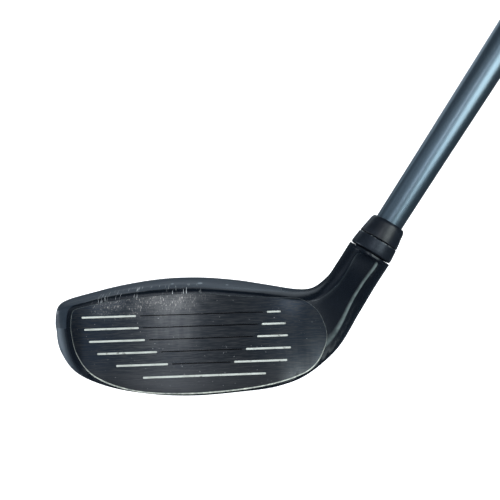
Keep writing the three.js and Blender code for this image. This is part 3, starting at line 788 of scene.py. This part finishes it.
class Look:
    """One procedural material: a Principled shader and the nodes that feed it."""

    def __init__(self, name, **constants):
        self.material = bpy.data.materials.new(name)
        self.material.use_nodes = True
        self.tree = self.material.node_tree
        self.shader = self.tree.nodes["Principled BSDF"]
        for key, value in constants.items():
            self.feed(key.replace("_", " "), value)
        self.place = self.node("TexCoord").outputs["Object"]

    def node(self, kind, inputs=(), **settings):
        made = self.tree.nodes.new("ShaderNode" + kind)
        for key, value in settings.items():
            setattr(made, key, value)
        for key, value in dict(inputs).items():
            self.put(made.inputs[key], value)
        return made

    def put(self, socket, value):
        if isinstance(value, bpy.types.NodeSocket):
            self.tree.links.new(value, socket)
        else:
            socket.default_value = value

    def feed(self, name, value):
        self.put(self.shader.inputs[name], value)

    def mapped(self, vector, **inputs):
        return self.node("Mapping", {"Vector": vector, **inputs}).outputs["Vector"]

    def in_frame(self, matrix):
        """Object coordinates seen in one of the frames."""
        back = matrix.inverted()
        return self.mapped(self.place, Rotation=back.to_euler(), Location=back.translation * MM)

    def noise(self, scale, detail=2, roughness=0.5, seed=0.0, place=None):
        shape = {"Scale": scale, "Detail": detail, "Roughness": roughness}
        inputs = {"Vector": place or self.place, "W": seed, **shape}
        return self.node("TexNoise", inputs, noise_dimensions="4D").outputs["Fac"]

    def range(self, value, low, high, to_low=0.0, to_high=1.0, kind="LINEAR"):
        inputs = {"Value": value, "From Min": low, "From Max": high, "To Min": to_low, "To Max": to_high}
        return self.node("MapRange", inputs, interpolation_type=kind).outputs["Result"]

    def ease(self, value, low, high):
        """A ramp from 0 to 1 with soft ends."""
        return self.range(value, low, high, kind="SMOOTHSTEP")

    def math(self, operation, *values):
        made = self.node("Math", operation=operation)
        for socket, value in zip(made.inputs, values):
            self.put(socket, value)
        return made.outputs["Value"]

    def mix(self, share, first, second):
        made = self.node("Mix", data_type="RGBA")
        self.put(made.inputs["Factor"], share)
        for socket, value in ((made.inputs[6], first), (made.inputs[7], second)):
            self.put(socket, value if isinstance(value, bpy.types.NodeSocket) else (*value, 1))
        return made.outputs[2]

    def axes(self, vector):
        return self.node("SeparateXYZ", {"Vector": vector}).outputs

    def bump(self, height, depth_mm):
        inputs = {"Height": height, "Distance": depth_mm * MM, "Strength": 1.0}
        self.feed("Normal", self.node("Bump", inputs).outputs["Normal"])

    def done(self, colour, rough=None, height=None, depth_mm=0.0):
        """Feeds the shader its colour, and its roughness and bump if there are any."""
        self.feed("Base Color", colour)
        if rough is not None:
            self.feed("Roughness", rough)
        if height is not None:
            self.bump(height, depth_mm)
        return self.material

    def streaks(self, stretch, detail=2, roughness=0.5, seed=0.0, place=None):
        """Noise drawn out along one axis: the smaller the stretch, the longer the streak."""
        stretched = self.mapped(place or self.place, Scale=stretch)
        return self.noise(1.0, detail, roughness, seed, stretched)

    def form_uv(self):
        """Place along the head and stretch of the outline, as stored by skin()."""
        uv = self.axes(self.node("UVMap", uv_map="form").outputs["UV"])
        return uv["X"], uv["Y"]

    def product(self, *values):
        total = values[0]
        for value in values[1:]:
            total = self.math("MULTIPLY", total, value)
        return total


# Base colours. Where there are two, noise runs between them.
PAINT_DARK, PAINT_PALE = (0.014, 0.021, 0.031), (0.026, 0.037, 0.052)
PAINT_DUSTY, DOT = (0.035, 0.044, 0.053), (0.16, 0.19, 0.21)
RIM_DARK, RIM_PALE = (0.002, 0.0035, 0.0065), (0.004, 0.0065, 0.011)
# the panel colour on this line is a painted highlight for the hosel panel's rounded edges, patchy like wear
# the skirt colour on this line is the skirt's satin tone, lightened as painted sheen of its rounded toe side
SKIRT_TONE_AND_SHEEN, PANEL_WEAR_AND_HIGHLIGHT, SCRATCH = (0.066, 0.084, 0.105), (0.12, 0.15, 0.15), (0.3, 0.31, 0.32)
FACE_TOE, FACE_MIDDLE, FACE_HEEL = (0.023, 0.031, 0.045), (0.018, 0.021, 0.026), (0.024, 0.032, 0.044)
# the last colour on this line is polish and a painted highlight for the middle of the face
FACE_LOW, FACE_GRAIN, FACE_POLISH_AND_SHEEN = (0.04, 0.042, 0.047), (0.056, 0.058, 0.062), (0.125, 0.127, 0.132)
BALL_DUST, BALL_STROKE = (0.1, 0.098, 0.1), (0.36, 0.34, 0.33)
PIT, GROOVE_SHADOW = (0.28, 0.28, 0.29), (0.002, 0.002, 0.003)
LINE_WHITE, LINE_GRIME, LINE_CHIP = (0.4, 0.42, 0.4), (0.25, 0.26, 0.24), (0.06, 0.06, 0.06)
EDGE_COATED, EDGE_BARE = (0.05, 0.06, 0.065), (0.72, 0.74, 0.66)
SLEEVE_DARK, SLEEVE_PALE, SEAM_SPECK = (0.009, 0.013, 0.02), (0.015, 0.021, 0.03), (0.25, 0.27, 0.28)
FERRULE_DARK, FERRULE_PALE = (0.003, 0.0045, 0.0075), (0.006, 0.0085, 0.013)
SHAFT_DARK, SHAFT_PALE, SHAFT_DRIFT = (0.09, 0.125, 0.155), (0.14, 0.18, 0.215), (0.1, 0.15, 0.2)

PAINT_BREAK = (0.0222, 0.0226)  # height of the line between the rail's paint and the skirt's, in metres


def body_look():
    """Satin coating on the casting: near black on the rim round the face and on the hosel, crown paint
    on the top rail, a greyer skirt below the paint break that is lightened as painted sheen round the
    toe, and painted highlights on the hosel panel's edges."""
    look = Look("body_coating", Metallic=0.25, Specular_IOR_Level=0.32)
    grain = look.noise(2600)
    cloud = look.noise(60, 3)
    flakes = look.noise(5200, 1)
    along, stretch = look.form_uv()
    x, y, z = look.axes(look.place)
    on_head = look.range(along, 9.6, 8.2)
    on_neck = look.range(along, 9.2, 10.4)
    # the bare rim is widest round the toe and thinnest along the sole
    width = look.range(x, -0.037, -0.028, 1.5, look.range(z, 0.006, 0.024, 0.3, 2.2))
    gap = look.node("Attribute", attribute_name="rim").outputs["Fac"]
    beyond = look.math("SUBTRACT", gap, width)
    off_rim = look.ease(beyond, -0.1, look.range(z, *PAINT_BREAK, 3.2, 0.7))
    above = look.range(z, *PAINT_BREAK)

    base = look.mix(look.range(cloud, 0.3, 0.7, 0.1, 0.9), RIM_DARK, RIM_PALE)
    # below the paint break: the skirt's own satin tone, lightened as painted sheen of the toe's rounded side,
    # easing in from the dark rim over about 3 mm as painted shading
    skirt = look.product(off_rim, on_head, look.ease(along, 7.6, 5.4))
    paint = look.mix(look.range(flakes, 0.35, 0.7, 0, 0.6), PAINT_DARK, PAINT_PALE)
    base = look.mix(skirt, base, look.mix(above, SKIRT_TONE_AND_SHEEN, paint))
    rail = look.product(off_rim, on_head, above)
    base = look.mix(rail, base, paint)
    # painted highlights on the hosel panel's rounded edges, broken into patches like worn coating: a soft
    # silvery one on its heel side, a faint one on its toe side
    inset = look.math("SUBTRACT", stretch, look.range(along, 11.2, 12.6, 0.17, 0.05))
    heel_edge = look.product(look.ease(inset, -0.05, 0.0), look.ease(inset, 0.13, 0.0))
    toe_edge = look.range(look.math("ABSOLUTE", look.math("SUBTRACT", stretch, 1.15)), 0.25, 0.08, 0, 0.07)
    patchy = look.range(look.noise(420, 3), 0.3, 0.6, 0.5, 1)
    ends = look.product(on_neck, look.range(along, 13.3, 12.9))
    wear_and_highlight = look.product(look.math("MAXIMUM", heel_edge, toe_edge), ends, patchy)
    base = look.mix(wear_and_highlight, base, PANEL_WEAR_AND_HIGHLIGHT)
    base = look.mix(look.product(sky_marks(look, x, y, z), on_head), base, SCRATCH)
    return look.done(base, look.range(skirt, 0, 1, 0.24, 0.42), grain, 0.002)


def sky_marks(look, x, y, z):
    """Fine upright scratches left by tees and balls along the front of the crown and the top rail."""
    scratches = look.streaks((2300, 170, 170), 2, 0.6, seed=8.0)
    clusters = look.noise(140, seed=4.0)
    lean = look.range(z, 0.003, 0.033, -0.014, -0.014 + 0.03 * math.tan(LOFT))
    behind = look.math("SUBTRACT", y, lean)
    near_front = look.product(look.range(behind, 0.0054, 0.0036), look.range(z, 0.0265, 0.029))
    toe_side = look.product(look.range(x, -0.037, -0.031), look.range(x, 0.006, -0.001))
    marks = look.product(look.range(scratches, 0.6, 0.64), look.range(clusters, 0.42, 0.5))
    return look.product(marks, near_front, toe_side)


DOTS = [(-7.0, 3.2, 0.5), (2.8, 3.4, 0.85), (12.4, 3.3, 0.5)]  # x, y and radius on the crown
DOT_BLUR = 0.12


def crown_look():
    """Satin slate paint with fine metallic flakes, three alignment dots and sky marks near the front."""
    look = Look("crown_paint", Metallic=0.25)
    flakes = look.noise(5200, 1)
    cloud = look.noise(45, 3)
    base = look.mix(look.range(flakes, 0.35, 0.7, 0, 0.6), PAINT_DARK, PAINT_PALE)
    base = look.mix(look.range(cloud, 0.4, 0.75, 0, 0.2), base, PAINT_DUSTY)
    x, y, z = look.axes(look.place)
    dots = 0.0
    for middle_x, middle_y, radius in DOTS:
        dx = look.math("SUBTRACT", x, middle_x * MM)
        dy = look.math("SUBTRACT", y, middle_y * MM)
        squares = look.math("ADD", look.product(dx, dx), look.product(dy, dy))
        away = look.math("SQRT", squares)
        dot = look.range(away, (radius + DOT_BLUR) * MM, (radius - DOT_BLUR) * MM)
        dots = look.math("MAXIMUM", dots, dot)
    base = look.mix(dots, base, DOT)
    base = look.mix(sky_marks(look, x, y, z), base, SCRATCH)
    return look.done(base, look.range(cloud, 0.3, 0.7, 0.34, 0.46), flakes, 0.006)


def face_look():
    """Dark steel brushed along the score lines, worn above the middle with a painted upright highlight there,
    and speckled by hits.
    """
    look = Look("brushed_face", Anisotropic=0.9)
    x, y, z = look.axes(look.place)
    up_face = {"X": 0.0, "Y": math.sin(LOFT), "Z": math.cos(LOFT)}
    look.feed("Tangent", look.node("CombineXYZ", up_face).outputs["Vector"])
    brush = look.streaks((110, 2100, 2100), 3, 0.7)
    fine = look.streaks((260, 4400, 4400), 2, 0.6, seed=5.0)
    lines = look.math("ADD", look.product(brush, 0.5), look.product(fine, 0.5))
    base = look.mix(look.ease(x, -0.036, -0.012), FACE_TOE, FACE_MIDDLE)
    base = look.mix(look.ease(x, 0.014, 0.036), base, FACE_HEEL)
    base = look.mix(look.ease(z, 0.014, 0.004), base, FACE_LOW)
    base = look.mix(look.range(lines, 0.45, 0.62, 0, 0.9), base, FACE_GRAIN)
    # polished by use and painted highlight: an upright patch over the middle that also stands in for the
    # upright reflection band there, and the low corner towards the heel
    patch = look.product(
        look.ease(x, -0.02, -0.008),
        look.ease(x, 0.006, -0.005),
        look.ease(z, 0.012, 0.021),
    )
    corner = look.product(look.ease(x, 0.022, 0.036), look.ease(z, 0.024, 0.01))
    polish_and_sheen = look.math("MAXIMUM", patch, look.product(corner, 0.6))
    upright = look.streaks((520, 90, 90), seed=2.0)
    uneven = look.product(look.range(lines, 0.4, 0.62, 0.45, 1), look.range(upright, 0.35, 0.6, 0.5, 1))
    base = look.mix(look.product(polish_and_sheen, uneven, 0.6), base, FACE_POLISH_AND_SHEEN)
    # the shadow line at the bottom of every groove
    from_foot_y = look.math("ADD", y, -FOOT_Y * MM)
    from_foot_z = look.math("ADD", z, -FOOT_Z * MM)
    rise = look.product(from_foot_z, math.sin(LOFT))
    depth = look.math("MULTIPLY_ADD", from_foot_y, -math.cos(LOFT), rise)
    groove_floor = look.product(
        look.range(depth, -0.0003, -0.0004),
        look.range(depth, -0.00065, -0.0006),
        look.range(x, -0.034, -0.033),
        look.range(x, 0.036, 0.035),
    )
    # ball marks: short upright strokes along the top edge, towards the toe, over a dusty patch
    high = look.ease(z, 0.0225, 0.0315)
    toe_half = look.product(look.range(x, -0.036, -0.03), look.ease(x, 0.012, -0.006))
    cloud = look.noise(190, 3, 0.6)
    strokes = look.streaks((3000, 950, 950), 3, 0.75)
    dusty = look.product(high, toe_half, look.range(cloud, 0.4, 0.66))
    base = look.mix(look.product(dusty, 0.12), base, BALL_DUST)
    marks = look.product(look.range(dusty, 0.03, 0.45), look.range(strokes, 0.57, 0.63), 0.9)
    base = look.mix(marks, base, BALL_STROKE)
    pits = look.noise(1500, 1, seed=3.0)
    base = look.mix(look.range(pits, 0.73, 0.76, 0, 0.75), base, PIT)
    base = look.mix(groove_floor, base, GROOVE_SHADOW)
    look.feed("Metallic", look.range(dusty, 0, 0.6, 0.9, 0.3))
    return look.done(base, look.range(lines, 0.35, 0.7, 0.28, 0.4), lines, 0.008)


def paint_look():
    """White paint in the score lines, chipped and grimy in places."""
    look = Look("score_paint", Roughness=0.6)
    chips = look.noise(700, 4, 0.7)
    grime = look.noise(260, 3)
    base = look.mix(look.range(grime, 0.4, 0.7, 0, 0.7), LINE_WHITE, LINE_GRIME)
    base = look.mix(look.range(chips, 0.6, 0.64, 0, 0.8), base, LINE_CHIP)
    return look.done(base, height=chips, depth_mm=0.03)


def edge_look():
    """Bare metal where the coating has worn off the plate's edge: brightest along the sole."""
    look = Look("worn_edge", Metallic=0.5)
    height = look.axes(look.place)["Z"]
    low = look.ease(height, 0.02, 0.004)
    patchy = look.range(look.noise(380, 4, 0.7), 0.3, 0.62)
    lower = look.range(height, 0.031, 0.02, 0.0, 0.15)
    share = look.product(look.math("ADD", look.product(low, 0.7), lower), patchy)
    return look.done(look.mix(share, EDGE_COATED, EDGE_BARE), look.range(patchy, 0, 1, 0.5, 0.32))


def sleeve_look():
    """Dark anodised metal, turned, with bright specks along its seam with the ferrule."""
    look = Look("anodised_sleeve", Metallic=0.6)
    place = look.in_frame(SHAFT_FRAME)
    turning = look.streaks((60, 60, 9000), place=place)
    cloud = look.noise(220, 3, place=place)
    rise = look.axes(place)["Z"]
    from_seam = look.math("ABSOLUTE", look.math("SUBTRACT", rise, (SLEEVE_SEAM - 0.12) * MM))
    seam = look.range(from_seam, 0.00022, 0.0001)
    specks = look.range(look.noise(900, 3, 0.7, place=place), 0.5, 0.62)
    base = look.mix(look.range(cloud, 0.35, 0.7, 0, 0.5), SLEEVE_DARK, SLEEVE_PALE)
    base = look.mix(look.product(seam, specks), base, SEAM_SPECK)
    return look.done(base, look.range(turning, 0.3, 0.7, 0.32, 0.44), turning, 0.004)


def ferrule_look():
    """Satin black plastic with faint turning marks."""
    look = Look("ferrule_plastic", Specular_IOR_Level=0.28)
    cloud = look.noise(300, 3)
    turning = look.streaks((60, 60, 5200), place=look.in_frame(SHAFT_FRAME))
    return look.done(
        look.mix(look.range(cloud, 0.35, 0.7), FERRULE_DARK, FERRULE_PALE),
        look.range(turning, 0.3, 0.7, 0.28, 0.4),
        turning,
        0.005,
    )


def shaft_look():
    """Blue-grey metallic lacquer over carbon fibre, with a clear gloss coat."""
    look = Look("shaft_lacquer", Metallic=0.95, Coat_Weight=0.15, Coat_Roughness=0.12)
    flakes = look.noise(6500, 1)
    drift = look.noise(30)
    base = look.mix(look.range(flakes, 0.3, 0.7, 0, 0.8), SHAFT_DARK, SHAFT_PALE)
    base = look.mix(look.range(drift, 0.35, 0.7, 0, 0.3), base, SHAFT_DRIFT)
    return look.done(base, look.range(flakes, 0.3, 0.7, 0.3, 0.4), flakes, 0.003)


def rubber_look(name, dark, pale):
    look = Look(name, Specular_IOR_Level=0.35)
    grain = look.noise(1800, 3)
    dust = look.noise(90, 3)
    return look.done(
        look.mix(look.range(dust, 0.4, 0.75, 0, 0.7), dark, pale),
        look.range(dust, 0.3, 0.7, 0.7, 0.85),
        grain,
        0.05,
    )


def mottled_look(name, colour, pale, rough=(0.7, 0.7), scale=500, depth_mm=0.02, metallic=0.0):
    """Two close colours with fine marks between them, for small parts and hidden ones."""
    look = Look(name, Metallic=metallic)
    marks = look.noise(scale, 3)
    base = look.mix(look.range(marks, 0.35, 0.7), colour, pale)
    return look.done(base, look.range(marks, 0.3, 0.7, *rough), marks, depth_mm)


def metal_look(name, colour, pale, rough=(0.25, 0.4)):
    return mottled_look(name, colour, pale, rough, 900, 0.008, 1.0)


# ---- assembly

def dress(piece, material):
    piece.data.materials.clear()
    piece.data.materials.append(material)


def add(piece, body, slot, material, *nodes):
    dress(piece, material)
    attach(piece, body)
    if nodes:
        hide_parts(*nodes)


STEEL = metal_look("screw_steel", (0.42, 0.43, 0.45), (0.55, 0.56, 0.58))
DARK_STEEL = metal_look("weight_steel", (0.2, 0.21, 0.23), (0.3, 0.31, 0.33), (0.35, 0.5))


def build_head():
    form = head_form()
    inside = hollow()
    add(mark_rim(shade_as(head_body(form, inside), form)), "head", "body_finish", body_look(), "head_body")
    add(shade_as(crown_shell(form, inside), form), "head", "crown_paint", crown_look(), "crown_shell")
    add(shade_as(face_plate(form), form), "head", "face_steel", face_look(), "face_plate")
    add(score_paint(), "head", "score_paint", paint_look())
    add(plate_rim(form), "head", "bright_edge", edge_look())
    bpy.data.objects.remove(form)
    bpy.data.objects.remove(inside)


def build_fasteners():
    add(retaining_screw(), "retaining_screw", "screw_steel", STEEL, "retaining_screw")
    add(weight_screw(), "weight_screw", "screw_steel", STEEL, "weight_screw")
    add(rear_weight(), "rear_weight", "weight_metal", DARK_STEEL, "rear_weight")


def build_shaft():
    body = "shaft_assembly"
    add(loft_sleeve(), body, "sleeve_anodised", sleeve_look(), "loft_sleeve")
    add(ferrule(), body, "ferrule_plastic", ferrule_look(), "ferrule")
    add(shaft(), body, "shaft_lacquer", shaft_look(), "shaft")
    grip_rubber = rubber_look("grip_rubber", (0.022, 0.023, 0.025), (0.04, 0.041, 0.043))
    cap_rubber = rubber_look("cap_rubber", (0.018, 0.018, 0.02), (0.032, 0.033, 0.035))
    add(grip(), body, "grip_rubber", grip_rubber, "grip")
    add(grip_cap(), body, "cap_rubber", cap_rubber, "grip_cap")


def dress_kept_nodes():
    """Materials for the hidden CAD pieces that are right as they are."""
    looks = {
        "screw_washer": STEEL,
        "screw_retainer": mottled_look("nylon", (0.7, 0.68, 0.6), (0.78, 0.76, 0.7), (0.5, 0.5)),
        "tip_weight": metal_look("brass", (0.6, 0.42, 0.16), (0.7, 0.52, 0.24)),
        "grip_tape": mottled_look("tape_paper", (0.62, 0.6, 0.52), (0.74, 0.72, 0.64), (0.9, 0.9), 1400),
        "weight_washer": rubber_look("washer_rubber", (0.02, 0.02, 0.02), (0.035, 0.035, 0.035)),
    }
    for name, material in looks.items():
        dress(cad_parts[name], material)


# ---- camera, floor and light

def add_camera():
    azimuth, elevation, roll = math.radians(-2.0), math.radians(7.9), math.radians(1.3)
    target, distance = Vector((20.735, 0, 46.85)), 160
    back = Vector((
        math.sin(azimuth) * math.cos(elevation),
        -math.cos(azimuth) * math.cos(elevation),
        math.sin(elevation),
    ))
    level = Vector((math.cos(azimuth), math.sin(azimuth), 0))
    upright = back.cross(level)
    right = level * math.cos(roll) - upright * math.sin(roll)
    up = upright * math.cos(roll) + level * math.sin(roll)
    place = (target + back * distance) * MM
    data = bpy.data.cameras.new("camera")
    data.lens, data.sensor_width = 33.24, 36
    data.clip_start, data.clip_end = 0.005, 20
    camera = bpy.data.objects.new("camera", data)
    camera.matrix_world = Matrix.Translation(place) @ Matrix((right, up, back)).transposed().to_4x4()
    SCENE.collection.objects.link(camera)
    SCENE.camera = camera


def add_stage():
    """A pale floor that sweeps up into a wall behind the club."""
    near, wall, radius, height, half = -4.0, 1.9, 0.7, 4.5, 4.5
    drop = 0.02  # keeps the floor clear of the head and the weight when they slide down
    steps = 16
    profile = [(near, 0.0)]
    for k in range(steps + 1):
        angle = math.pi / 2 * k / steps
        profile.append((wall - radius + radius * math.sin(angle), radius - radius * math.cos(angle)))
    profile.append((wall, height))
    points = [(x, y, z - drop) for x in (-half, half) for y, z in profile]
    count = len(profile)
    faces = [(i, i + 1, count + i + 1, count + i) for i in range(count - 1)]
    mesh = bpy.data.meshes.new("sweep")
    mesh.from_pydata(points, [], faces)
    mesh.shade_smooth()
    floor = new_object("sweep", mesh)
    look = Look("paper", Roughness=0.9, Specular_IOR_Level=0.1)
    fibres = look.noise(900, 3)
    look.feed("Base Color", look.mix(look.range(fibres, 0.3, 0.7), (0.86, 0.86, 0.86), (0.9, 0.9, 0.9)))
    look.feed("Emission Color", (1, 1, 1, 1))
    look.feed("Emission Strength", 0.8)
    dress(floor, look.material)
    # the paper lights the club softly, but its mirror image would wash out the dark coatings
    floor.visible_glossy = False


LIGHT_TARGET = Vector((0.03, 0, 0.05))


def area_light(name, place, size, power, colour=(1, 1, 1)):
    data = bpy.data.lights.new(name, "AREA")
    data.shape = "RECTANGLE"
    data.size, data.size_y = size
    data.energy = power
    data.color = colour
    light = bpy.data.objects.new(name, data)
    light.location = place
    light.rotation_euler = (LIGHT_TARGET - Vector(place)).to_track_quat("-Z", "Y").to_euler()
    light.visible_camera = False
    SCENE.collection.objects.link(light)
    return light


def add_lights():
    area_light("overhead", (0.0, 1.6, 1.4), (2.4, 1.1), 8, (0.8, 0.91, 1))
    area_light("right_box", (0.72, -1.12, 0.38), (0.8, 0.8), 13, (0.9, 1, 0.98))
    area_light("left_box", (-1.6, -0.3, 0.9), (1.0, 1.5), 2.5, (0.8, 0.9, 1))
    area_light("front_high", (0.1, -1.7, 0.97), (2.2, 1.2), 8, (0.85, 0.93, 1))
    area_light("front_strip", (-0.27, -1.7, 0.95), (0.14, 0.7), 3, (0.95, 0.98, 1))
    area_light("left_high", (-0.8, -0.95, 1.3), (0.7, 0.7), 1.2, (0.85, 0.93, 1))
    area_light("toe_side", (-1.6, 0.35, 0.15), (0.8, 0.4), 12, (0.88, 0.94, 1))
    fill = area_light("fill", (-0.2, -1.4, 1.4), (1.6, 1.0), 16)
    fill.visible_glossy = False
    world = bpy.data.worlds.new("studio")
    world.use_nodes = True
    background = world.node_tree.nodes["Background"].inputs
    background["Color"].default_value = (0.62, 0.8, 1, 1)
    background["Strength"].default_value = 0.12
    SCENE.world = world
    SCENE.view_settings.view_transform = "Standard"


add_camera()
build_head()
build_fasteners()
build_shaft()
dress_kept_nodes()
add_stage()
add_lights()
